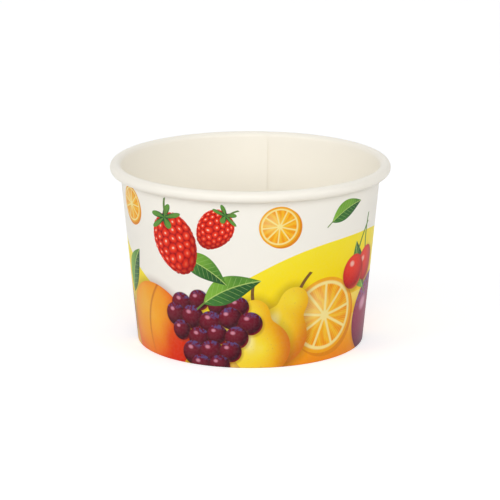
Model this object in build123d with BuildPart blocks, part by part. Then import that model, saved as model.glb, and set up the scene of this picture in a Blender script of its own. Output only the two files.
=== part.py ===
from build123d import *
import os
from math import asin, atan2, cos, degrees, radians, sin, tan

# A paper dessert cup. It is made of two pieces of coated board: a side wall rolled from a flat
# blank, with a lapped seam, a curled rim and a hem, and a bottom disc whose turned-down skirt
# is sealed between the wall and the hem. The cup stands on z = 0 with its axis on Z, and the
# seam is at the back, towards +Y. Millimetres and degrees.

# Driving dimensions of the cup
rim_diameter = 75.0  # over the curl
height = 48.8
base_diameter = 60.7  # where the wall's outer face reaches the table
recess_depth = 6.8  # from the table up to the underside of the disc

# The two boards
wall_paper = 0.35
bottom_paper = 0.30

# The curled rim
curl_diameter = 3.0
curl_gap = 0.04  # between the roll and the wall that it comes back to
tail_radius = 1.0  # outer radius of the last turn inside the roll
tail_sweep = 115.0

# The hem and the disc's skirt inside it
fold_radius = 0.05  # inside radius of each of the hem's two creases
bend_radius = 0.30  # inside radius where the disc turns down into its skirt
seal_gap = 0.02  # between the skirt and the wall, and between the skirt and the hem
hem_clearance = 0.25  # from the hem's edge up to the start of the skirt's bend
skirt_clearance = 0.60  # from the fold up to the skirt's edge

# The lapped seam
seam_angle = 82.0  # where the inner edge lies, counted from +X
lap_width = 8.0  # at the base
ramp_angle = 7.0  # over which the outer end climbs onto the inner end
step_fade = 3.5  # height over which the inner step dies out below the curl

# The wall's slant: its outer face runs from the base up to the inner side of the rolled board
rim_radius = rim_diameter / 2
base_radius = base_diameter / 2
curl_radius = curl_diameter / 2
curl_centre = (rim_radius - curl_radius, height - curl_radius)
base_to_curl = Vector(curl_centre[0] - base_radius, curl_centre[1])
lean = atan2(base_to_curl.X, base_to_curl.Y)
taper = lean - asin((curl_radius - wall_paper) / base_to_curl.length)


def wall_radius(z, inset=0.0):
    """Radius of the cone that lies inset inside the wall's outer face, at height z."""
    return base_radius + z * tan(taper) - inset / cos(taper)


# The side wall's section, drawn along the middle of the board: hem, fold, wall and curl
wall_middle = wall_paper / 2
hem_middle = wall_paper + 2 * seal_gap + bottom_paper + wall_paper / 2
hem_top = recess_depth - bend_radius - hem_clearance
skirt_bottom = wall_paper + skirt_clearance
roll_radius = curl_radius - wall_middle
wall_top = (
    curl_centre[0] - roll_radius * cos(taper),
    curl_centre[1] + roll_radius * sin(taper),
)
curl_bottom = height - curl_diameter
tuck_level = curl_bottom + curl_radius
tuck_radius = curl_centre[0] - wall_radius(tuck_level) - curl_gap

with BuildPart() as wall_sheet:
    with BuildSketch(Plane.XZ):
        with BuildLine():
            folded = FilletPolyline(
                (wall_radius(hem_top, hem_middle), hem_top),
                (wall_radius(wall_middle, hem_middle), wall_middle),
                (wall_radius(wall_middle, wall_middle), wall_middle),
                wall_top,
                radius=fold_radius + wall_middle,
            )
            crest = JernArc(folded @ 1, folded % 1, roll_radius, degrees(taper) - 270)
            tuck = JernArc(crest @ 1, crest % 1, tuck_radius - wall_middle, -90)
            JernArc(tuck @ 1, tuck % 1, tail_radius - wall_middle, -tail_sweep)
        trace(line_width=wall_paper)
    revolve(axis=Axis.Z)

# The seam: where the wall climbs over its own inner end, the board leaves the cone on a flat facet
hem_face = hem_middle + wall_middle


def seam_plane(angle):
    """The upright plane through the cup's axis at an angle from +X."""
    outward = Vector(1, 0, 0).rotate(Axis.Z, angle)
    return Plane(origin=(0, 0, 0), x_dir=outward, z_dir=outward.cross(Vector(0, 0, 1)))


def climb_plane(inset, rise):
    """The facet's plane: from the cone at inset, over the ramp's angle, out by rise."""
    toe = Vector(wall_radius(0, inset), 0, 0).rotate(Axis.Z, seam_angle - ramp_angle)
    edge = Vector(wall_radius(0, inset) + rise, 0, 0).rotate(Axis.Z, seam_angle)
    edge_above = Vector(wall_radius(height, inset) + rise, 0, height).rotate(Axis.Z, seam_angle)
    along = edge - toe
    return Plane(origin=toe, x_dir=along, z_dir=along.cross(edge_above - edge))


# The seam's outer end: a second layer on the wall, which goes round the fold and up the hem. It
# is pressed flat on the table, so its lower corners are only as round as the board allows.
lap_angle = degrees(lap_width / base_radius)
lap_top = curl_centre[1] - curl_radius / 3
lap_corner = wall_paper / 2

with BuildPart() as wall_lap:
    with BuildSketch(seam_plane(seam_angle - ramp_angle)) as layer:
        Polygon(
            (wall_radius(0, wall_paper), 0),
            (wall_radius(0, -wall_paper), 0),
            (wall_radius(lap_top, -wall_paper), lap_top),
            (wall_radius(lap_top, wall_middle), lap_top),
            align=None,
        )
        fillet(layer.vertices().group_by(Axis.Y)[0].sort_by(Axis.X)[-1], radius=lap_corner)
    revolve(axis=Axis.Z, revolution_arc=ramp_angle + lap_angle)
    split(bisect_by=climb_plane(0, wall_paper), keep=Keep.BOTTOM)

with BuildPart() as hem_lap:
    with BuildSketch(seam_plane(seam_angle - ramp_angle)) as layer:
        Polygon(
            (wall_radius(0, hem_face - wall_paper), 0),
            (wall_radius(0, hem_face + wall_paper), 0),
            (wall_radius(hem_top, hem_face + wall_paper), hem_top),
            (wall_radius(hem_top, hem_middle), hem_top),
            align=None,
        )
        fillet(layer.vertices().group_by(Axis.Y)[0].sort_by(Axis.X)[0], radius=lap_corner)
    revolve(axis=Axis.Z, revolution_arc=ramp_angle + lap_angle)
    split(bisect_by=climb_plane(hem_face, -wall_paper), keep=Keep.TOP)

# The seam's inner step: what is missing inside, beside the edge of the inner end. It dies out
# under the rim, where the roll is pressed.
step_top = curl_centre[1]
step_full = step_top - step_fade
step_left = wall_paper / 10

with BuildPart() as seam_step:
    with BuildSketch(seam_plane(seam_angle - ramp_angle)):
        Polygon(
            (wall_radius(skirt_bottom, 2 * wall_paper), skirt_bottom),
            (wall_radius(skirt_bottom), skirt_bottom),
            (wall_radius(step_full), step_full),
            (wall_radius(step_top, wall_paper) + step_left, step_top),
            (wall_radius(step_top, 2 * wall_paper), step_top),
            align=None,
        )
    revolve(axis=Axis.Z, revolution_arc=ramp_angle)
    split(bisect_by=climb_plane(wall_paper, wall_paper), keep=Keep.BOTTOM)

with BuildPart() as side_wall:
    add(wall_sheet.part)
    add(wall_lap.part)
    add(hem_lap.part)
    add(seam_step.part, mode=Mode.SUBTRACT)

# The bottom disc, with its skirt turned down along the wall's inner face
disc_middle = recess_depth + bottom_paper / 2
skirt_middle = wall_paper + seal_gap + bottom_paper / 2

with BuildPart() as bottom_disc:
    with BuildSketch(Plane.XZ):
        with BuildLine():
            FilletPolyline(
                (0, disc_middle),
                (wall_radius(disc_middle, skirt_middle), disc_middle),
                (wall_radius(skirt_bottom, skirt_middle), skirt_bottom),
                radius=bend_radius + bottom_paper / 2,
            )
        trace(line_width=bottom_paper)
    revolve(axis=Axis.Z)

side_wall.part.label = "side_wall"
bottom_disc.part.label = "bottom_disc"

os.makedirs("parts", exist_ok=True)
export_step(side_wall.part, "parts/side_wall.step")
export_step(bottom_disc.part, "parts/bottom_disc.step")

print("wall taper", round(degrees(taper), 3), "degrees")
for piece in (side_wall.part, bottom_disc.part):
    box = piece.bounding_box()
    print(piece.label, len(piece.solids()), "solid", round(piece.volume, 1), "mm3", box)
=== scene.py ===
# %% [markdown]
# # A paper dessert cup
# This lesson builds one printed paper cup of the kind that ice cream is sold in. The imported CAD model
# gives its size and place. Blender adds what the CAD solids don't carry: a fine mesh of the rolled
# board, its coating, the cut edges, and the printed fruit design.
# The cup stands on z = 0 with its axis on Z. Its front faces -Y and its sealed side seam is at the back.

import math
import bpy
import numpy as np
from mathutils import Matrix, Vector


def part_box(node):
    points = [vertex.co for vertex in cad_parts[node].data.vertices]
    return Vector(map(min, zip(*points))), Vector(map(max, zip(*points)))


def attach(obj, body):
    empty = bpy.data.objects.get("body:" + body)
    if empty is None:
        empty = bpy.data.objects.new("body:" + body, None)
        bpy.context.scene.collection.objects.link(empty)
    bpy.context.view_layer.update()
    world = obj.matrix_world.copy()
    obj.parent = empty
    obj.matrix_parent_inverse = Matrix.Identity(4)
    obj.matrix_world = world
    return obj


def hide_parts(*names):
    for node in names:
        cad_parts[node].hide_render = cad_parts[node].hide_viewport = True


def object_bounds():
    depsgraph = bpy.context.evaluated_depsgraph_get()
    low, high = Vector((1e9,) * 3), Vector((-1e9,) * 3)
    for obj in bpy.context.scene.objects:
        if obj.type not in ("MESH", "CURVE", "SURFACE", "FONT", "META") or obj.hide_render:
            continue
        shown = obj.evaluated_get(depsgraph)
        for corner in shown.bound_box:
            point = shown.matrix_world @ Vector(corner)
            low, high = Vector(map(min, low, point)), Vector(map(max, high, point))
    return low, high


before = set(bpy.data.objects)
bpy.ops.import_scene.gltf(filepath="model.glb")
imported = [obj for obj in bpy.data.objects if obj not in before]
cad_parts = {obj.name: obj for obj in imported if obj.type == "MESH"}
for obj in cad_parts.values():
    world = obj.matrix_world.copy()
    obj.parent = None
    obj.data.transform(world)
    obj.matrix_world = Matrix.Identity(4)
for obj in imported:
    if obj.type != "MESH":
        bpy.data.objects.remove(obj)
cad_low, cad_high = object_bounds()
MM = 0.001
print("nodes:", sorted(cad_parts), "height", round(cad_high.z / MM, 2), "mm")

# %% [markdown]
# ## Sizes
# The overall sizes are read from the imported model. The board's own sizes, which no box can tell, are
# those of the construction: its gauge, the curl, the hem and the seam.

# %% Read the sizes
RIM_RADIUS = cad_high.x
HEIGHT = cad_high.z
disc_low, disc_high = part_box("bottom_disc")
DISC_TOP = disc_high.z
SKIRT_BOTTOM = disc_low.z
WALL_BOARD = 0.35 * MM
DISC_BOARD = 0.30 * MM
CURL_RADIUS = 1.5 * MM
BASE_RADIUS = 30.35 * MM  # where the wall's outer face would meet the table
SEAL_GAP = 0.02 * MM
CURL_GAP = 0.04 * MM

curl_x = RIM_RADIUS - CURL_RADIUS
curl_z = HEIGHT - CURL_RADIUS
lean = math.atan2(curl_x - BASE_RADIUS, curl_z)
reach = math.hypot(curl_x - BASE_RADIUS, curl_z)
TAPER = lean - math.asin((CURL_RADIUS - WALL_BOARD) / reach)


def cone_radius(z, inset=0.0):
    """Radius of the cone that lies inset inside the wall's outer face, at height z."""
    return BASE_RADIUS + z * math.tan(TAPER) - inset / math.cos(TAPER)


print("the wall leans out by", round(math.degrees(TAPER), 2), "degrees")

# %% [markdown]
# ## The side wall's section
# The real wall is one blank of board. Its lower edge is folded in and up round the disc's skirt, and its
# upper edge is rolled outwards until it touches the wall again. A lathe profile describes both at once,
# so the section is drawn once, along the middle of the board, and spun. A path that remembers its point
# and heading draws it the way a bending machine works: straight, turn, straight, turn.


# %% Draw a path with straight runs and turns
class BoardPath:
    """Points along the middle of a board, as (radius, height), from a start point and a heading."""

    def __init__(self, start, heading):
        self.points = [Vector(start)]
        self.heading = heading

    def run(self, end, steps=1):
        """Go straight to a point."""
        start = self.points[-1].copy()
        end = Vector(end)
        self.heading = math.atan2(end.y - start.y, end.x - start.x)
        for step in range(1, steps + 1):
            self.points.append(start.lerp(end, step / steps))

    def turn(self, radius, angle, steps):
        """Turn on an arc: a positive angle turns left."""
        side = math.copysign(math.pi / 2, angle)
        to_centre = Vector((math.cos(self.heading + side), math.sin(self.heading + side)))
        centre = self.points[-1] + radius * to_centre
        spoke = self.points[-1] - centre
        for step in range(1, steps + 1):
            self.points.append(centre + Matrix.Rotation(angle * step / steps, 2) @ spoke)
        self.heading += angle


def corner_path(corners, radius, steps, arc_steps):
    """A path through corners with each inner corner rounded. Steps gives the pieces of each run."""
    path = BoardPath(corners[0], 0.0)
    for i in range(1, len(corners) - 1):
        before = (Vector(corners[i]) - Vector(corners[i - 1])).normalized()
        after = (Vector(corners[i + 1]) - Vector(corners[i])).normalized()
        bend = math.atan2(before.cross(after), before.dot(after))
        cut = radius * math.tan(abs(bend) / 2)
        path.run(Vector(corners[i]) - cut * before, steps[i - 1])
        path.turn(radius, bend, arc_steps)
    path.run(corners[-1], steps[-1])
    return path


# %% Lay out the wall's section
FOLD_RADIUS = 0.05 * MM  # inside each of the hem's two creases
HEM_CLEARANCE = 0.55 * MM  # from the hem's edge up to the underside of the disc
TAIL_RADIUS = 1.0 * MM  # outside the last turn, which is tucked into the roll
TAIL_SWEEP = math.radians(115)
HEM_STEPS = 4
WALL_STEPS = 14
FOLD_STEPS = 7
ROLL_STEPS = 36
TAIL_STEPS = 12
QUARTER_TURN = math.pi / 2
half_board = WALL_BOARD / 2
hem_inset = WALL_BOARD + 2 * SEAL_GAP + DISC_BOARD + half_board
hem_top = DISC_TOP - DISC_BOARD - HEM_CLEARANCE
roll_radius = CURL_RADIUS - half_board
wall_top = (curl_x - roll_radius * math.cos(TAPER), curl_z + roll_radius * math.sin(TAPER))

section = corner_path(
    [
        (cone_radius(hem_top, hem_inset), hem_top),
        (cone_radius(half_board, hem_inset), half_board),
        (cone_radius(half_board, half_board), half_board),
        wall_top,
    ],
    FOLD_RADIUS + half_board,
    steps=(HEM_STEPS, 1, WALL_STEPS),
    arc_steps=FOLD_STEPS,
)
tuck_radius = curl_x - cone_radius(curl_z) - CURL_GAP
curl_start = len(section.points) - 1
section.turn(roll_radius, TAPER - 3 * QUARTER_TURN, ROLL_STEPS)
section.turn(tuck_radius - half_board, -QUARTER_TURN, TAIL_STEPS)
section.turn(TAIL_RADIUS - half_board, -TAIL_SWEEP, TAIL_STEPS)
print("the wall's section has", len(section.points), "points")

# %% [markdown]
# ## Roll the blank
# A plane is added and merged to one vertex, the vertex is extruded along the section, and the chain is
# spun about the cup's axis. The blank starts at the seam's inner edge. It goes round once, climbs over
# its own start on a short ramp, and ends 8 mm further on, so the spin goes past a full turn and the
# last columns are pushed outwards by one board. That gives a true lap seam, with a step inside and a
# step outside, which a closed tube with a line drawn on it would not have.

# %% Helpers for modelling
def only(piece):
    """Deselect everything, then select this piece and make it active."""
    if bpy.context.object and bpy.context.object.mode != "OBJECT":
        bpy.ops.object.mode_set(mode="OBJECT")
    bpy.ops.object.select_all(action="DESELECT")
    piece.select_set(True)
    bpy.context.view_layer.objects.active = piece


def chain(name, points):
    """A new piece that is one chain of vertices, extruded point by point in the XZ plane."""
    bpy.ops.object.select_all(action="DESELECT")
    bpy.ops.mesh.primitive_plane_add(size=MM)
    piece = bpy.context.object
    piece.name = name
    piece.data.name = name
    bpy.ops.object.mode_set(mode="EDIT")
    bpy.ops.mesh.select_all(action="SELECT")
    bpy.ops.mesh.merge(type="CENTER")
    place = Vector((points[0].x, 0, points[0].y))
    bpy.ops.transform.translate(value=place)
    for point in points[1:]:
        step = Vector((point.x, 0, point.y)) - place
        bpy.ops.mesh.extrude_region_move(TRANSFORM_OT_translate={"value": step})
        place = place + step
    return piece


def spin(steps, angle):
    """Spin what is selected about the cup's axis."""
    bpy.ops.mesh.spin(steps=steps, angle=angle, center=(0, 0, 0), axis=(0, 0, -1))


def coordinates(mesh):
    """The mesh's vertices as an array of numbers."""
    found = np.empty(len(mesh.vertices) * 3)
    mesh.vertices.foreach_get("co", found)
    return found.reshape(-1, 3)


def apply_all(piece):
    """Apply the piece's modifiers from first to last."""
    only(piece)
    for modifier in list(piece.modifiers):
        bpy.ops.object.modifier_apply(modifier=modifier.name)


# %% Spin the wall past a full turn
SEAM_ANGLE = math.radians(82)  # the blank's inner edge, counted from +X
RAMP_ANGLE = math.radians(7)
LAP_WIDTH = 8.0 * MM
LAP_ANGLE = LAP_WIDTH / BASE_RADIUS
COLUMN = math.radians(1)
FIRST_LAYER = math.tau - RAMP_ANGLE

cup_wall = chain("cup_wall", section.points)
bpy.ops.object.mode_set(mode="OBJECT")
cup_wall.data.transform(Matrix.Rotation(SEAM_ANGLE, 4, "Z"))
bpy.ops.object.mode_set(mode="EDIT")
bpy.ops.mesh.select_all(action="SELECT")
spin(round(FIRST_LAYER / COLUMN), FIRST_LAYER)
bpy.ops.object.mode_set(mode="OBJECT")
single_layer = len(cup_wall.data.vertices)
bpy.ops.object.mode_set(mode="EDIT")
spin(round(RAMP_ANGLE / COLUMN), RAMP_ANGLE)
spin(round(LAP_ANGLE / COLUMN), LAP_ANGLE)
bpy.ops.object.mode_set(mode="OBJECT")
print("wall:", len(cup_wall.data.vertices), "vertices,", single_layer, "of them before the ramp")

# %% [markdown]
# Each vertex now learns two facts about the flat blank: how far round it lies from the seam's inner
# edge, and how far along the section. They are kept as attributes on the mesh, because they place the
# lap here and lay out the texture map after the board has its thickness.


# %% Tell each vertex its place on the flat blank
def wrapped(angle):
    """Angles brought into one turn from just below zero, so that a start isn't read as an end."""
    slack = COLUMN / 2
    return (angle + slack) % math.tau - slack


def smooth(share):
    """A step from 0 to 1 with soft ends."""
    share = np.clip(share, 0, 1)
    return share * share * (3 - 2 * share)


def write_attribute(mesh, name, numbers):
    """Keep one number for each vertex."""
    mesh.attributes.new(name, "FLOAT", "POINT").data.foreach_set("value", numbers)


def read_attribute(mesh, name):
    """The numbers that write_attribute kept."""
    numbers = np.empty(len(mesh.vertices))
    mesh.attributes[name].data.foreach_get("value", numbers)
    return numbers


xyz = coordinates(cup_wall.data)
around = np.arctan2(xyz[:, 1], xyz[:, 0])
second_layer = np.arange(len(xyz)) >= single_layer
turn = wrapped(around - SEAM_ANGLE)
turn[second_layer] = FIRST_LAYER + wrapped(around[second_layer] - SEAM_ANGLE + RAMP_ANGLE)

BATCHES = 40  # the search for the nearest section point is split up to save memory
path = np.array([tuple(point) for point in section.points])
spots = np.stack([np.hypot(xyz[:, 0], xyz[:, 1]), xyz[:, 2]], axis=1)
nearest = []
for part in np.array_split(spots, BATCHES):
    distances = np.linalg.norm(part[:, None] - path, axis=2)
    nearest.append(distances.argmin(axis=1))
station = np.concatenate(nearest)
lengths = np.concatenate([[0], np.cumsum(np.linalg.norm(np.diff(path, axis=0), axis=1))])
along = lengths[station]
write_attribute(cup_wall.data, "turn", turn)
write_attribute(cup_wall.data, "along", along)
print("the blank is", round(lengths[-1] / MM, 1), "mm high")
print("it turns through", round(math.degrees(turn.max())), "degrees")

# %% [markdown]
# The lap is the last stretch of the blank. Over the ramp it moves towards the printed side, until it lies
# on the first layer. In a real cup the two layers are pressed almost flush where the rim is rolled, so
# there the step shrinks to a few hundredths of a millimetre. The folded base is pressed too: the layer
# underneath gives way by as much, and the cup still stands on a flat ring.

# %% Lay the lap over the first layer
STEP_FADE = 4.0 * MM  # the step fades out over this length below the curl
PRESSED_STEP = 0.06 * MM  # what is left of it in the curl and under the base
tangent = np.gradient(path, axis=0)
tangent /= np.linalg.norm(tangent, axis=1)[:, None]
out_x = tangent[station, 1]
out_z = -tangent[station, 0]
climb = smooth((turn - FIRST_LAYER) / RAMP_ANGLE)
in_curl = smooth((along - lengths[curl_start] + STEP_FADE) / STEP_FADE)
full_step = (WALL_BOARD + SEAL_GAP / 2) / math.cos(TAPER)
step = climb * (full_step + (PRESSED_STEP - full_step) * in_curl)
covered = 1 - smooth((turn - LAP_ANGLE) / RAMP_ANGLE)
covered[second_layer] = 0
xyz[:, 0] += step * out_x * np.cos(around)
xyz[:, 1] += step * out_x * np.sin(around)
xyz[:, 2] += step * out_z * in_curl + PRESSED_STEP * covered * out_z**2 * (1 - in_curl)
cup_wall.data.vertices.foreach_set("co", xyz.ravel())
print("the lap steps out by up to", round(step.max() / MM, 3), "mm")

# %% [markdown]
# The sheet becomes board with Solidify, half a board to each side of the middle line. Its material
# offsets give the three surfaces of real cup board their own finishes: the printed face, the plain
# coated face, and the raw cut edge.


# %% Give a sheet its thickness
CREASE = math.radians(40)  # edges that bend more than this stay sharp


def make_board(piece, thickness, printed):
    """Turn a sheet into board: a face, a back if it is printed, and a cut edge, each with its own slot."""
    last_slot = 2 if printed else 1
    for _ in range(last_slot + 1):
        piece.data.materials.append(None)
    only(piece)
    bpy.ops.object.mode_set(mode="EDIT")
    bpy.ops.mesh.select_all(action="SELECT")
    bpy.ops.mesh.normals_make_consistent(inside=False)
    bpy.ops.object.mode_set(mode="OBJECT")
    outward = sum(face.area * face.normal.dot(face.center) for face in piece.data.polygons)
    if outward < 0:
        piece.data.flip_normals()
    solid = piece.modifiers.new("board", "SOLIDIFY")
    solid.thickness = thickness
    solid.offset = 0
    solid.use_even_offset = True
    solid.material_offset = last_slot - 1
    solid.material_offset_rim = last_slot
    apply_all(piece)
    bpy.ops.object.shade_smooth_by_angle(angle=CREASE)
    print(piece.name, "has", len(piece.data.polygons), "faces")


cup_wall.data.update()
make_board(cup_wall, WALL_BOARD, printed=True)

# %% [markdown]
# The blank has an obvious texture map: unrolled flat. The printed face is laid out in two rows, one for
# each half turn, so that it fills the square. The plain face needs less and gets one squeezed row. The
# four cut edges are thin strips at the top.
#
# The facts kept on the vertices came through Solidify, so each corner of a face can ask its vertex where
# it lies. A face goes to one row as a whole, so the rows are chosen by face and not by corner.

# %% Unroll the wall for its texture map
PRINTED, PLAIN, CUT = range(3)  # the wall's three finishes, in the order of its slots
MARGIN = 0.006
ROW = 0.45
ROW_STARTS = (0.006, 0.468)
PLAIN_START = 0.93
PLAIN_ROW = 0.036
EDGE_START = 0.974
EDGE_PITCH = 0.0065
EDGE_ROW = 0.003
SAME_TURN = 1e-6

mesh = cup_wall.data
board_turn = read_attribute(mesh, "turn")
board_along = read_attribute(mesh, "along")
turn_share = (board_turn - board_turn.min()) / (board_turn.max() - board_turn.min())
along_share = board_along / board_along.max()
corner_vertex = np.empty(len(mesh.loops), dtype=int)
mesh.loops.foreach_get("vertex_index", corner_vertex)
face_sides = np.array([face.loop_total for face in mesh.polygons])
face_finish = np.array([face.material_index for face in mesh.polygons])
first_corner = np.concatenate([[0], np.cumsum(face_sides)[:-1]])


def per_face(reduce, numbers):
    """Reduce the numbers at each face's corners, and give the result back to each corner."""
    return np.repeat(reduce(numbers, first_corner), face_sides)


finish = np.repeat(face_finish, face_sides)
corner_turn = turn_share[corner_vertex]
corner_along = along_share[corner_vertex]
least_turn = per_face(np.minimum.reduceat, corner_turn)
most_turn = per_face(np.maximum.reduceat, corner_turn)
least_along = per_face(np.minimum.reduceat, corner_along)
half = (least_turn + most_turn > 1).astype(int)
u = np.where(finish == PRINTED, 2 * corner_turn - half, corner_turn)
v = np.array(ROW_STARTS)[half] + ROW * corner_along
v = np.where(finish == PLAIN, PLAIN_START + PLAIN_ROW * corner_along, v)
is_side_edge = (finish == CUT) & (most_turn - least_turn < SAME_TURN)
inner_shell = corner_vertex >= len(mesh.vertices) // 2
strip = np.where(is_side_edge, half, 2 + (least_along > 0.5))
u = np.where(is_side_edge, corner_along, u)
v = np.where(finish == CUT, EDGE_START + EDGE_PITCH * strip + EDGE_ROW * inner_shell, v)
unrolled = np.stack([MARGIN + (1 - 2 * MARGIN) * u, v], axis=1)
texture_map = mesh.uv_layers.new(name="OFBake")
texture_map.uv.foreach_set("vector", unrolled.ravel())
print("texture map from", unrolled.min(axis=0).round(3), "to", unrolled.max(axis=0).round(3))

# %% [markdown]
# ## The bottom disc
# The disc is a second, thinner board. A die pushes it through a ring, so that its edge turns down into
# a short skirt, which the wall's hem then grips. Here a circle is added at the flat part's size, its rim
# is extruded ring by ring round the bend and down the skirt, and Solidify gives it its thickness.

# %% Form the bottom disc
BEND_RADIUS = 0.30 * MM  # inside the bend
DISC_SIDES = 240
SKIRT_STEPS = 4
BEND_STEPS = 8
half_disc = DISC_BOARD / 2
skirt_inset = WALL_BOARD + SEAL_GAP + half_disc
disc_middle = DISC_TOP - half_disc
skirt_end = SKIRT_BOTTOM + half_disc * math.sin(TAPER)
disc_path = corner_path(
    [
        (0, disc_middle),
        (cone_radius(disc_middle, skirt_inset), disc_middle),
        (cone_radius(skirt_end, skirt_inset), skirt_end),
    ],
    BEND_RADIUS + half_disc,
    steps=(1, SKIRT_STEPS),
    arc_steps=BEND_STEPS,
)
bpy.ops.object.select_all(action="DESELECT")
flat = disc_path.points[1]
bpy.ops.mesh.primitive_circle_add(
    vertices=DISC_SIDES, radius=flat.x, fill_type="TRIFAN", location=(0, 0, flat.y)
)
cup_bottom = bpy.context.object
cup_bottom.name = "cup_bottom"
cup_bottom.data.name = "cup_bottom"
bpy.ops.object.transform_apply(location=True, rotation=False, scale=False)
bpy.ops.object.mode_set(mode="EDIT")
bpy.ops.mesh.select_all(action="SELECT")
bpy.ops.mesh.region_to_loop()
for here, there in zip(disc_path.points[1:-1], disc_path.points[2:]):
    bpy.ops.mesh.extrude_region_move(TRANSFORM_OT_translate={"value": (0, 0, there.y - here.y)})
    ratio = there.x / here.x
    bpy.ops.transform.resize(value=(ratio, ratio, 1))
bpy.ops.object.mode_set(mode="OBJECT")
make_board(cup_bottom, DISC_BOARD, printed=False)

# %% [markdown]
# ## Finishes
# Materials are node graphs. These helpers write them as short sentences: a node is made by its name, and
# its sockets take numbers or other sockets.


# %% Helpers for node graphs
def colour(red, green, blue):
    """A screen colour, 0 to 255, as the linear colour that shaders use."""
    screen = [channel / 255 for channel in (red, green, blue)]
    return tuple(c / 12.92 if c < 0.04045 else ((c + 0.055) / 1.055) ** 2.4 for c in screen) + (1.0,)


def node(tree, kind, inputs=None, output=0, **settings):
    """Add a node, set it up, fill or link its sockets, and return one of its outputs."""
    made = tree.nodes.new(kind)
    for name, value in settings.items():
        setattr(made, name, value)
    for name, value in (inputs or {}).items():
        if isinstance(value, bpy.types.NodeSocket):
            tree.links.new(value, made.inputs[name])
        else:
            made.inputs[name].default_value = value
    return made.outputs[output]


def new_material(name):
    """A new node material with only its output, and that output node."""
    material = bpy.data.materials.new(name)
    material.use_nodes = True
    material.node_tree.nodes.clear()
    return material, material.node_tree.nodes.new("ShaderNodeOutputMaterial")


# %% [markdown]
# ## Plain board and its cut edge
# Cup board is white pulp under a thin film of plastic. The film gives the plain face a soft satin gloss,
# and the fibres below it show as a very fine grain. Where the board is cut there is no film, so the edge
# is matt and a little darker. A noise could colour the grain, but real board has none in its colour, so
# here it only bends the light, as bump.

# %% Finish the plain board
FIBRE_SCALE = 2200.0  # fibres to the metre
FIBRE_DETAIL = 3.0
FIBRE_DEPTH = 0.06 * MM


def fibre_bump(tree, place, strength):
    """The grain of paper fibres, as a bent normal."""
    inputs = {"Vector": place, "Scale": FIBRE_SCALE, "Detail": FIBRE_DETAIL}
    fibre = node(tree, "ShaderNodeTexNoise", inputs, output="Fac")
    return node(tree, "ShaderNodeBump", {"Strength": strength, "Distance": FIBRE_DEPTH, "Height": fibre})


def board_material(name, base, roughness):
    """A plain board with a faint fibre grain."""
    material, end = new_material(name)
    tree = material.node_tree
    place = node(tree, "ShaderNodeTexCoord", output="Object")
    bump = fibre_bump(tree, place, 0.12)
    inputs = {"Base Color": base, "Roughness": roughness, "Normal": bump}
    shader = node(tree, "ShaderNodeBsdfPrincipled", inputs)
    tree.links.new(shader, end.inputs["Surface"])
    return material


white_face = board_material("white_coated_board", colour(253, 248, 236), 0.42)
cut_edge = board_material("cut_edge", colour(244, 239, 228), 0.8)
cup_wall.data.materials[PLAIN] = white_face
cup_wall.data.materials[CUT] = cut_edge
cup_bottom.data.materials[0] = white_face
cup_bottom.data.materials[1] = cut_edge
print("plain finishes:", white_face.name, "and", cut_edge.name)

# %% [markdown]
# ## The printed design
# The print is a loose scatter of fruit over a yellow wave on white board, twice round the cup. It is
# drawn with arithmetic instead of a picture: each motif is a node group that takes the colour beneath it
# and a place in its own units, and returns the colour with the motif painted over. A small class lets
# Python's + - * / add the Math nodes, so that a shape reads like its formula.
#
# A material's working memory is small, and a print of many motifs can overflow it, which turns the piece
# black. So the smooth steps do without clamping, which they don't need, and the noises that several
# motifs use are made once and handed in.


# %% Arithmetic that draws nodes
class Value:
    """A number that runs through a node graph. Arithmetic on it adds Math nodes."""

    def __init__(self, tree, socket):
        self.tree = tree
        self.socket = socket

    def math(self, operation, *others):
        made = self.tree.nodes.new("ShaderNodeMath")
        made.operation = operation
        for slot, value in enumerate((self,) + others):
            if isinstance(value, Value):
                self.tree.links.new(value.socket, made.inputs[slot])
            else:
                made.inputs[slot].default_value = value
        return Value(self.tree, made.outputs[0])

    def __add__(self, other):
        return self.math("ADD", other)

    def __sub__(self, other):
        return self.math("SUBTRACT", other)

    def __rsub__(self, other):
        return (self * -1.0).math("ADD", other)

    def __mul__(self, other):
        return self.math("MULTIPLY", other)

    def __truediv__(self, other):
        return self.math("DIVIDE", other)

    def __abs__(self):
        return self.math("ABSOLUTE")

    __radd__ = __add__
    __rmul__ = __mul__


def rise(value, start, end):
    """0 below start, 1 above end, smooth between. With start above end it falls instead."""
    if start > end:
        return 1 - rise(value, end, start)
    inputs = {"Value": value.socket, "From Min": start, "From Max": end}
    made = node(value.tree, "ShaderNodeMapRange", inputs, interpolation_type="SMOOTHSTEP", clamp=False)
    return Value(value.tree, made)


def far(x, y):
    """Distance from the origin."""
    return (x * x + y * y).math("SQRT")


def dome(r):
    """Height of a ball of radius 1 above the paper, at distance r from its middle."""
    return (1 - r * r).math("MAXIMUM", 0.0).math("SQRT")


COLOUR_A, COLOUR_B = 6, 7  # the Mix node's colour sockets, by number, as several share each name
MIXED_COLOUR = 2


def mix(amount, under, over):
    """Blend two colours by a Value."""
    tree = amount.tree
    made = tree.nodes.new("ShaderNodeMix")
    made.data_type = "RGBA"
    tree.links.new(amount.socket, made.inputs[0])
    for slot, paint in ((COLOUR_A, under), (COLOUR_B, over)):
        if isinstance(paint, bpy.types.NodeSocket):
            tree.links.new(paint, made.inputs[slot])
        else:
            made.inputs[slot].default_value = paint
    return made.outputs[MIXED_COLOUR]


def ramp(value, *stops):
    """A colour ramp: each stop is its place from 0 to 1 and a colour."""
    made = node(value.tree, "ShaderNodeValToRGB", {"Fac": value.socket})
    scale = made.node.color_ramp
    scale.elements[0].position, scale.elements[0].color = stops[0]
    scale.elements[1].position, scale.elements[1].color = stops[-1]
    for place, paint in stops[1:-1]:
        scale.elements.new(place).color = paint
    return made


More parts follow.
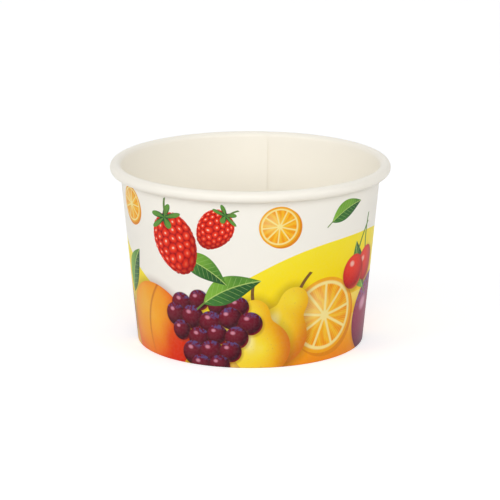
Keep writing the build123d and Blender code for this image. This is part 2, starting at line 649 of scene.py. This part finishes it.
# %% [markdown]
# A motif that is used many times is worth a node group. Each painting function below becomes one. The
# decorator makes the group and its sockets, runs the function once to fill it, and files it by name. X
# and Y are the place in units of the motif's own size, and Soft is how wide its printed edge is there.

# %% A motif is a node group
MOTIFS = {}


def motif(paint):
    """Make a node group from a painting function. It is given the colour beneath and a place."""
    group = bpy.data.node_groups.new(paint.__name__, "ShaderNodeTree")
    group.interface.new_socket("Under", in_out="INPUT", socket_type="NodeSocketColor")
    for name in ("X", "Y", "Soft", "Mottle", "Speckle"):
        group.interface.new_socket(name, in_out="INPUT", socket_type="NodeSocketFloat")
    group.interface.new_socket("Over", in_out="OUTPUT", socket_type="NodeSocketColor")
    start = group.nodes.new("NodeGroupInput")
    under, *place, _ = start.outputs
    over = paint(under, *[Value(group, socket) for socket in place])
    group.links.new(over, group.nodes.new("NodeGroupOutput").inputs["Over"])
    MOTIFS[paint.__name__] = group
    return paint


def inside(distance, soft):
    """1 where a signed distance is negative, with an edge as wide as soft."""
    return ((distance / soft) * -1.0 + 0.5).math("MAXIMUM", 0.0).math("MINIMUM", 1.0)


# %% [markdown]
# Round fruit are shaded as painted balls: a light from the upper left, a darker far side, a small
# highlight and a warm glow back along the shaded edge. Grapes, cherries and plums are the same ball in
# other colours, with a stem, a groove or a dusty bloom of their own. The apricot is matt, so it has no
# highlight. Mottle and Speckle are two noises, coarse and fine, that all motifs share.


# %% Ball fruit
def cast(under, distance):
    """Darken what lies just outside a shape, so that it stands off what is behind it."""
    return mix(rise(distance, 0.22, -0.05) * 0.4, under, colour(120, 58, 24))


def ball(under, x, y, soft, mottle, speckle, dark, body, lit, glow, shine, bloom=None):
    """A shaded ball of radius 1."""
    under = cast(under, far(x - 0.07, y + 0.1) - 1.0)
    r = far(x, y)
    light = x * -0.38 + y * 0.5 + dome(r) * 0.72
    paint = ramp(light * 0.5 + 0.42, (0.2, dark), (0.55, body), (0.88, lit))
    edge = rise(r, 0.72, 0.98) * rise(x * 0.7 - y * 0.7, 0.35, 0.95)
    paint = mix(edge * 0.7, paint, glow)
    if bloom:
        patch = rise(y + mottle * 0.9, 0.85, 1.25) * rise(speckle, 0.42, 0.6)
        paint = mix(patch * 0.75, paint, bloom)
    spot = rise(far(x + 0.34, (y - 0.42) * 1.3), 0.3, 0.08)
    paint = mix(spot * 0.8, paint, shine)
    return mix(inside(r - 1.0, soft), under, paint)


@motif
def grape(*place):
    return ball(
        *place, colour(20, 4, 14), colour(66, 8, 26), colour(122, 26, 46), colour(150, 22, 36),
        colour(228, 150, 172), colour(84, 78, 138),
    )


@motif
def cherry(under, x, y, soft, *rest):
    stem = abs(x - (y - 0.7) * (y - 0.7) * 0.12) - 0.07
    stem = inside(stem, soft) * rise(y, 0.68, 0.7) * rise(y, 2.92, 2.88)
    place = (mix(stem, under, colour(92, 134, 48)), x, y, soft, *rest)
    return ball(
        *place, colour(96, 2, 12), colour(196, 10, 16), colour(238, 58, 36), colour(236, 84, 44),
        colour(255, 206, 190),
    )


@motif
def plum(under, x, y, *rest):
    over = ball(
        under, x, y, *rest, colour(40, 6, 34), colour(98, 20, 56), colour(158, 58, 88),
        colour(176, 66, 64), colour(228, 170, 192), colour(116, 104, 168),
    )
    groove = rise(abs(x - 0.3 + y * y * 0.42), 0.07, 0.0) * rise(far(x, y), 1.0, 0.9)
    return mix(groove * 0.5, over, colour(52, 14, 40))


@motif
def apricot(under, x, y, soft, mottle, speckle):
    r = far(x, y)
    light = x * -0.3 + y * 0.45 + dome(r) * 0.75 + mottle * 0.3
    paint = ramp(
        light * 0.5 + 0.3, (0.2, colour(200, 44, 16)), (0.5, colour(240, 100, 24)),
        (0.8, colour(252, 172, 44)), (1.0, colour(254, 210, 90)),
    )
    blush = rise(x + y * -0.3 + mottle * 0.5, 0.35, 0.95)
    paint = mix(blush * 0.8, paint, colour(222, 40, 18))
    groove = rise(abs(x + 0.22 - y * y * 0.4), 0.06, 0.0) * rise(y, -0.9, 0.2)
    paint = mix(groove * 0.55, paint, colour(176, 52, 28))
    return mix(inside(r - 1.0, soft), cast(under, r - 1.0), paint)


ball_fruit = list(MOTIFS)
print("ball fruit and their nodes:", [(name, len(MOTIFS[name].nodes)) for name in ball_fruit])

# %% [markdown]
# A citrus wheel is a cut slice: a rind with some thickness, white pith, and nine segments of pulp with
# streaks that run out from the core.

# %% Citrus wheel
SEGMENTS = 9


@motif
def wheel(under, x, y, soft, mottle, speckle):
    side = inside(far(x - 0.07, y + 0.12) - 1.0, soft)
    over = mix(side, under, colour(230, 140, 20))
    r = far(x, y)
    angle = y.math("ARCTAN2", x)
    paint = mix(rise(r, 0.93, 0.88), colour(247, 172, 24), colour(254, 232, 150))
    slice_angle = (angle * (SEGMENTS / math.tau)).math("FRACT") - 0.5
    to_skin = (0.5 - abs(slice_angle)) * (math.tau / SEGMENTS) * r
    pulp = rise(to_skin, 0.018, 0.05) * rise(r, 0.84, 0.8) * rise(r, 0.1, 0.16)
    streak = (angle * 46.0 + mottle * 9.0).math("SINE") * (angle * 31.0 + r * 5.0).math("SINE")
    flesh = ramp(
        streak * 0.22 + r * 0.3 + 0.35,
        (0.35, colour(255, 204, 50)),
        (0.6, colour(250, 166, 20)),
        (0.85, colour(240, 130, 12)),
    )
    paint = mix(pulp, paint, flesh)
    paint = mix(rise(far(x + 0.3, y - 0.35), 0.7, 0.1) * 0.3, paint, colour(255, 240, 170))
    return mix(inside(r - 1.0, soft), over, paint)


# %% [markdown]
# A raspberry is an egg shape packed with small beads. The beads stand on a honeycomb of points: two
# oblong grids, one shifted by half a step, and the nearer point wins. The distance to it shades each bead
# from its highlight down to the dark gap around it. The beads grow smaller towards the outline, where
# the fruit turns away.


# %% Raspberry
def honeycomb(x, y):
    """Distance to the nearest point of a honeycomb with a spacing of 1."""
    rows = y / math.sqrt(3)
    here = far(x.math("FRACT") - 0.5, (rows.math("FRACT") - 0.5) * math.sqrt(3))
    shifted = far((x + 0.5).math("FRACT") - 0.5, ((rows + 0.5).math("FRACT") - 0.5) * math.sqrt(3))
    return here.math("MINIMUM", shifted)


@motif
def raspberry(under, x, y, soft, mottle, speckle):
    wide = x / (0.78 + y * 0.1)
    r = far(wide, y)
    depth = dome(r)
    swell = depth * 0.35 + 0.65
    bead = honeycomb(x * 3.1 / swell + mottle * 1.2, y * 2.9 / swell + mottle)
    paint = ramp(
        bead,
        (0.0, colour(255, 110, 72)),
        (0.25, colour(244, 60, 28)),
        (0.42, colour(218, 30, 18)),
        (0.58, colour(132, 8, 12)),
    )
    light = x * -0.4 + y * 0.45 + depth * 0.7
    paint = mix(rise(light, 0.45, -0.3) * 0.65, paint, colour(128, 8, 14))
    paint = mix(rise(bead, 0.16, 0.05) * rise(light, 0.1, 0.7) * 0.9, paint, colour(255, 222, 205))
    over = mix(inside(r + bead * bead * 0.14 - 1.02, soft), under, paint)
    up = (y - 0.86) * 1.7
    star = (up.math("ARCTAN2", x) * 2.5 + 0.6).math("COSINE")
    leaf_edge = far(x, up) - 0.2 - star * star * 0.46
    green = mix(rise(star * star, 0.2, 0.95), colour(36, 84, 44), colour(98, 150, 62))
    over = mix(inside(leaf_edge, soft), over, green)
    stem = abs(x - 0.1 - (y - 0.9) * (y - 0.9) * 0.8) - 0.045
    return mix(inside(stem, soft) * rise(y, 0.88, 0.9) * rise(y, 1.42, 1.4), over, colour(96, 130, 58))


# %% [markdown]
# A pear joins a large and a small circle with a smooth union, so the neck flows into the belly.


# %% Pear
@motif
def pear(under, x, y, soft, mottle, speckle):
    stem = abs(x - (y - 0.7) * (y - 0.7) * 0.5) - 0.035
    over = mix(inside(stem, soft) * rise(y, 0.6, 0.62) * rise(y, 1.12, 1.1), under, colour(120, 86, 42))
    belly = far(x, y + 0.36) - 0.62
    neck = far(x, y - 0.44) - 0.3
    shape = belly.math("SMOOTH_MIN", neck, 0.42)
    light = 0.42 - x * 0.5 + y * 0.1 - shape * 0.55
    paint = ramp(
        light,
        (0.1, colour(206, 122, 14)),
        (0.35, colour(242, 180, 24)),
        (0.65, colour(251, 222, 54)),
        (1.0, colour(254, 240, 130)),
    )
    blush = rise(x + mottle * 0.5, 0.4, 0.85) * rise(y, 0.5, -0.4)
    paint = mix(blush * 0.5, paint, colour(230, 116, 44))
    paint = mix(rise(speckle, 0.66, 0.74) * 0.35, paint, colour(196, 150, 50))
    shine = rise(far((x + 0.24) * 1.9, y + 0.14), 0.36, 0.02)
    paint = mix(shine * 0.5, paint, colour(255, 250, 196))
    return mix(inside(shape, soft), cast(over, shape), paint)


# %% [markdown]
# A leaf is bounded by two bowed edges. The midrib follows the bow, the side veins slant forwards from it,
# and one half is darker, as if the blade were folded a little along the rib.


# %% Leaf
@motif
def leaf(under, x, y, soft, mottle, speckle):
    bowed = y + x * x * 0.16 - 0.08
    along = x.math("MAXIMUM", -1.3).math("MINIMUM", 1.3)
    edge = abs(bowed) - (1 - along * along) * (1 - along * 0.3) * 0.42
    light_half = rise(bowed, -0.02, 0.02)
    tone = mottle * 0.6 + x * -0.25 + 0.25
    lit = ramp(tone, (0.25, colour(56, 116, 46)), (0.75, colour(130, 182, 62)))
    shaded = ramp(tone, (0.25, colour(26, 70, 40)), (0.8, colour(66, 124, 52)))
    paint = mix(light_half, shaded, lit)
    slant = (x * 5.0 - abs(bowed) * 4.5).math("FRACT") - 0.5
    vein = rise(abs(slant), 0.07, 0.02) * rise(edge, -0.03, -0.1)
    paint = mix(vein * 0.5, paint, colour(176, 212, 118))
    rib = rise(abs(bowed), 0.024, 0.008)
    paint = mix(rib * 0.85, paint, colour(190, 216, 120))
    over = mix(inside(edge, soft), under, paint)
    stalk = inside(abs(bowed) - 0.028, soft) * rise(x, -1.3, -1.28) * rise(x, -0.9, -0.95)
    return mix(stalk, over, colour(110, 140, 62))


print("other motifs:", [(name, len(MOTIFS[name].nodes)) for name in MOTIFS if name not in ball_fruit])

# %% [markdown]
# ## The layout on the cup
# The design lives on the flat blank, so its place is told in the blank's own terms: the angle round the
# cup, counted from the front, and the height along the slanted wall. An arc is the angle times the
# radius at that height, which keeps a circle round on the tapering wall. The whole layout repeats every
# half turn. Angles run from the lap's visible edge, and the print is a hair longer than the way round,
# so its two ends miss each other there by a little over half a millimetre, as they do on most cups.

# %% The blank's coordinates
LAP_EDGE = SEAM_ANGLE + LAP_ANGLE - 3 * QUARTER_TURN  # counted from the front
PRINT_STRETCH = 1.003
REPEAT = math.pi
printed_face, printed_end = new_material("printed_board")
print_tree = printed_face.node_tree
place = node(print_tree, "ShaderNodeTexCoord", output="Object")
split = node(print_tree, "ShaderNodeSeparateXYZ", {0: place}).node
wall_x, wall_y, wall_z = (Value(print_tree, split.outputs[axis]) * (1 / MM) for axis in range(3))
past_lap = (wall_x.math("ARCTAN2", wall_y * -1.0) - LAP_EDGE).math("WRAP", 0.0, math.tau)
wall_angle = (past_lap + LAP_EDGE) * PRINT_STRETCH
wall_radius = far(wall_x, wall_y)
wall_height = wall_z * (1 / math.cos(TAPER))


def noise(scale):
    """Soft noise about 0.5 with scale features to the metre."""
    inputs = {"Vector": place, "Scale": scale, "Detail": 2.0}
    return Value(print_tree, node(print_tree, "ShaderNodeTexNoise", inputs, output="Fac"))


mottle = noise(160.0)
speckle = noise(1400.0)


def on_wall(angle, height, turned, size):
    """Coordinates about a centre at an angle and a height, turned by degrees, in units of size in mm."""
    arc = (wall_angle - math.radians(angle)).math("WRAP", -REPEAT / 2, REPEAT / 2) * wall_radius
    up = wall_height - height
    cosine = math.cos(math.radians(turned)) / size
    sine = math.sin(math.radians(turned)) / size
    return arc * cosine + up * sine, up * cosine - arc * sine


print("the lap's visible edge lies", round(math.degrees(LAP_EDGE) % 360, 1), "degrees round from the front")


# %% [markdown]
# The wave is the ground of the design. Its edge is a sum of two sines that repeat with the layout. Below
# the edge the yellow deepens to gold and then orange, and two lighter ribbons follow the same sweep.

# %% Paint the wave
EDGE = 0.12  # the softness of a printed edge, in mm
PAPER_WHITE = colour(252, 248, 238)
RIBBON = colour(255, 246, 150)
WAVE_HEIGHT = 27.0  # these four in mm
SWELL = 8.0
RIPPLE = 1.4
GROUND_DEPTH = 40.0
double = wall_angle * (math.tau / REPEAT)
wave = (double - 0.35).math("SINE") * SWELL + (double * 2.0 + 0.9).math("SINE") * RIPPLE + WAVE_HEIGHT
below = wave - wall_height
ground = ramp(
    (below + mottle * 4.0) / GROUND_DEPTH,
    (0.0, colour(255, 236, 52)),
    (0.3, colour(255, 224, 16)),
    (0.6, colour(252, 188, 20)),
    (0.95, colour(244, 130, 22)),
)
for offset, width, paleness in ((9.0, 5.0, 0.38), (19.0, 7.0, 0.3)):
    ribbon = (wave * 0.8 - wall_height * 1.1 + 3.0 - offset + (double + offset).math("SINE") * 2.0) / width
    band = rise(ribbon, 0.0, 0.05) * rise(ribbon, 1.0, 0.2)
    ground = mix(band * paleness, ground, RIBBON)
printed = mix(inside(below * -1.0, EDGE), PAPER_WHITE, ground)
print("the wave swings from", WAVE_HEIGHT - SWELL, "to", WAVE_HEIGHT + SWELL, "mm up")

# %% [markdown]
# The fruit are stamped from back to front, each with its angle, height, turn and size. The grapes hang
# as one bunch, laid out row by row, so they are made by a loop.


# %% Stamp the fruit
def stamp(under, name, angle, height, turned, size):
    """Paint one motif on the wall: angles in degrees, height and size in mm."""
    x, y = on_wall(angle, height, turned, size)
    made = print_tree.nodes.new("ShaderNodeGroup")
    made.node_tree = MOTIFS[name]
    print_tree.links.new(under, made.inputs["Under"])
    for socket, value in (("X", x), ("Y", y), ("Mottle", mottle), ("Speckle", speckle)):
        print_tree.links.new(value.socket, made.inputs[socket])
    made.inputs["Soft"].default_value = EDGE / size
    return made.outputs["Over"]


BACK_FRUIT = [
    ("leaf", -70, 22, 60, 8.0),
    ("apricot", -53, 8, 0, 12.5),
    ("plum", 80, 9, 15, 11.0),
    ("leaf", 62, 24, 115, 8.0),
    ("wheel", 38, 13, 10, 10.5),
    ("pear", 17, 13, -24, 13.0),
    ("pear", 4, 10, 10, 12.5),
]
TOP_FRUIT = [
    ("wheel", 13, 39, 25, 5.5),
    ("wheel", -66, 40.5, 0, 5.0),
    ("leaf", -22, 27, -28, 7.5),
    ("raspberry", -36, 33, 24, 8.6),
    ("raspberry", -16, 38, -38, 6.0),
    ("leaf", 48, 41, 20, 6.0),
    ("cherry", 69, 24, 16, 4.8),
    ("cherry", 57, 23, -14, 4.8),
]
for name, angle, height, turned, size in BACK_FRUIT:
    printed = stamp(printed, name, angle, height, turned, size)

BUNCH_ANGLE = -20
BUNCH_RADIUS = 32.0  # of the wall behind the bunch
GRAPE_PITCH = 5.3
GRAPE_SIZE = 3.1
GRAPE_ROWS = ((17.5, 4, 0.0), (13.0, 5, 0.6), (8.5, 4, -0.4), (4.0, 3, 0.5), (0.0, 2, 0.0))
for height, count, shift in GRAPE_ROWS:
    for place_in_row in range(count):
        off_centre = (place_in_row - (count - 1) / 2) * GRAPE_PITCH + shift
        angle = BUNCH_ANGLE + math.degrees(off_centre / BUNCH_RADIUS)
        lift = 0.9 * math.sin(place_in_row * 2.4 + height)
        size = GRAPE_SIZE + 0.3 * math.sin(7 * lift)
        printed = stamp(printed, "grape", angle, height + lift, 8 * lift, size)
printed = stamp(printed, "leaf", -9, 21.5, 24, 8.5)
for name, angle, height, turned, size in TOP_FRUIT:
    printed = stamp(printed, name, angle, height, turned, size)
grapes = sum(count for _, count, _ in GRAPE_ROWS)
print("stamped", len(BACK_FRUIT) + grapes + 1 + len(TOP_FRUIT), "motifs,", grapes, "of them grapes")

# %% [markdown]
# At the base the board folds under and up inside. The print runs a little past the fold, as it does on a
# trimmed blank, and the rest of the hem is bare. The hem is closed by a knurled roller, which leaves a
# ring of fine upright ribs inside the base. The ribs are too fine to need a mesh of their own, so they
# are bump, laid over the bump of the fibres. The ink lets a trace of the white board through, and it
# dulls the board's gloss, which keeps dark fruit dark.

# %% Finish the printed board
BLEED = 2.5  # mm of print past the fold
KNURLS = 150
KNURL_DEPTH = 0.05 * MM
base_radius = BASE_RADIUS / MM
on_hem = rise(wall_radius - wall_height * math.sin(TAPER), base_radius - 0.45, base_radius - 0.5)
bare = on_hem * rise(wall_height, BLEED - 0.1, BLEED)
printed = mix(bare, printed, PAPER_WHITE)
printed = mix(rise(speckle, 0.3, 0.7) * 0.015, printed, colour(255, 255, 250))
grain = fibre_bump(print_tree, place, 0.1)
ribs = (wall_angle * KNURLS).math("SINE") * on_hem
knurled = node(
    print_tree,
    "ShaderNodeBump",
    {"Strength": 1.0, "Distance": KNURL_DEPTH, "Height": ribs.socket, "Normal": grain},
)
ink = node(
    print_tree,
    "ShaderNodeBsdfPrincipled",
    {"Base Color": printed, "Roughness": 0.4, "Specular IOR Level": 0.12, "Normal": knurled},
)
print_tree.links.new(ink, printed_end.inputs["Surface"])
cup_wall.data.materials[PRINTED] = printed_face
print("the print takes", len(print_tree.nodes), "nodes and", len(MOTIFS), "motifs")

# %% [markdown]
# ## The floor
# The set is a white studio: a pale floor under a pale sky. Both have to look white, yet the light that
# they throw on the cup has to stay soft and plain. So what is seen of them, directly or in a gloss, is
# told apart from the light that lands on things. The floor is matt white paint that takes the cup's
# shadow, and a glow that is only looked at, and lights nothing, lifts it to white.

# %% Floor
FLOOR_SIZE = 4.0
FLOOR_DROP = 0.02 * MM  # keeps the floor clear of the cup's base
FLOOR_PAINT = 0.8
FLOOR_GLOW = 0.5
WHITE = (1.0, 1.0, 1.0, 1.0)


def seen(tree):
    """1 for what is looked at, directly or in a gloss, and 0 for light that lands on things."""
    rays = node(tree, "ShaderNodeLightPath").node
    found = rays.outputs["Is Camera Ray"]
    for name in ("Is Glossy Ray", "Is Transmission Ray"):
        found = node(tree, "ShaderNodeMath", {0: found, 1: rays.outputs[name]}, operation="MAXIMUM")
    return found


bpy.ops.object.select_all(action="DESELECT")
bpy.ops.mesh.primitive_plane_add(size=FLOOR_SIZE, location=(0, 0, -FLOOR_DROP))
floor = bpy.context.object
floor.name = "floor"
bpy.ops.object.transform_apply(location=True, rotation=False, scale=False)
floor_paint, floor_end = new_material("floor")
floor_tree = floor_paint.node_tree
lift = node(floor_tree, "ShaderNodeMath", {0: seen(floor_tree), 1: FLOOR_GLOW}, operation="MULTIPLY")
glow = node(floor_tree, "ShaderNodeEmission", {"Color": WHITE, "Strength": lift})
matt = node(floor_tree, "ShaderNodeBsdfDiffuse", {"Color": (FLOOR_PAINT, FLOOR_PAINT, FLOOR_PAINT, 1.0)})
lifted = node(floor_tree, "ShaderNodeAddShader", {0: glow, 1: matt})
floor_tree.links.new(lifted, floor_end.inputs["Surface"])
floor.data.materials.append(floor_paint)
print("the floor is", FLOOR_SIZE, "m wide")

# %% [markdown]
# ## The sky
# A plain white world fills the shadows from every side, as a white room does. It would be too bright as
# it looks, so it lights the cup at a good third of the strength that it is seen at.

# %% World
WORLD_STRENGTH = 0.38
world = bpy.data.worlds.new("studio")
bpy.context.scene.world = world
world.use_nodes = True
world_tree = world.node_tree
world_tree.nodes.clear()
sky_strength = node(
    world_tree, "ShaderNodeMapRange", {"Value": seen(world_tree), "To Min": WORLD_STRENGTH, "To Max": 1.0}
)
sky = node(world_tree, "ShaderNodeBackground", {"Color": WHITE, "Strength": sky_strength})
world_tree.links.new(sky, world_tree.nodes.new("ShaderNodeOutputWorld").inputs["Surface"])
print("the sky lights the cup at", WORLD_STRENGTH, "and is seen at 1.0")

# %% [markdown]
# ## The lamps
# Four square lamps stand just over a metre off. The front one brightens the face and the near side of
# the rim. The side ones shape the wall: the left is the stronger, so the cup turns darker to the right.
# The back one keeps the cup's far side from going dull. All of them are wide, so that shadows are soft.

# %% Lamps
LAMPS = (  # name, place in metres, width in metres, watts
    ("front_lamp", (0, -1.1, 0.55), 0.7, 4.5),
    ("left_lamp", (-1.0, -0.6, 0.6), 0.7, 4.4),
    ("right_lamp", (1.0, -0.6, 0.6), 0.7, 3.2),
    ("back_lamp", (0, 0.9, 0.9), 0.9, 1.6),
)
middle = Vector((0, 0, HEIGHT / 2))


def soft_lamp(name, place, width, power):
    """A square area lamp that faces the middle of the cup."""
    lamp = bpy.data.lights.new(name, "AREA")
    lamp.size = width
    lamp.energy = power
    holder = bpy.data.objects.new(name, lamp)
    bpy.context.collection.objects.link(holder)
    holder.location = place
    holder.rotation_euler = (middle - Vector(place)).to_track_quat("-Z", "Y").to_euler()


for lamp_facts in LAMPS:
    soft_lamp(*lamp_facts)
print("lamps:", [(name, power) for name, _, _, power in LAMPS])

# %% [markdown]
# ## The camera
# The camera looks down into the cup by about 15 degrees, so the near rim crosses the wall's top and the
# inside shows. A long lens from under a metre off keeps the sides of the wall nearly straight in the
# picture. Its small shifts frame the cup without turning it. The plain view transform shows each paint
# as it was mixed.

# %% Camera
CAMERA_DISTANCE = 0.79635
CAMERA_ELEVATION = math.radians(14.686)
FOCAL_LENGTH = 213.2  # the lens's own millimetres
SHIFT_X = -0.0006
SHIFT_Y = -0.0029
lens = bpy.data.cameras.new("camera")
lens.lens = FOCAL_LENGTH
lens.shift_x = SHIFT_X
lens.shift_y = SHIFT_Y
camera = bpy.data.objects.new("camera", lens)
bpy.context.collection.objects.link(camera)
outlook = Vector((0, -math.cos(CAMERA_ELEVATION), math.sin(CAMERA_ELEVATION)))
camera.location = middle + CAMERA_DISTANCE * outlook
camera.rotation_euler = (-outlook).to_track_quat("-Z", "Y").to_euler()
bpy.context.scene.camera = camera
bpy.context.scene.view_settings.view_transform = "Standard"
print("the camera stands", round(camera.location.z, 3), "m above the floor")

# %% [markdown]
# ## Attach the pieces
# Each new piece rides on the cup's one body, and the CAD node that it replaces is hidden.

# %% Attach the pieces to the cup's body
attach(cup_wall, "root")
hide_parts("side_wall")
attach(cup_bottom, "root")
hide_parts("bottom_disc")
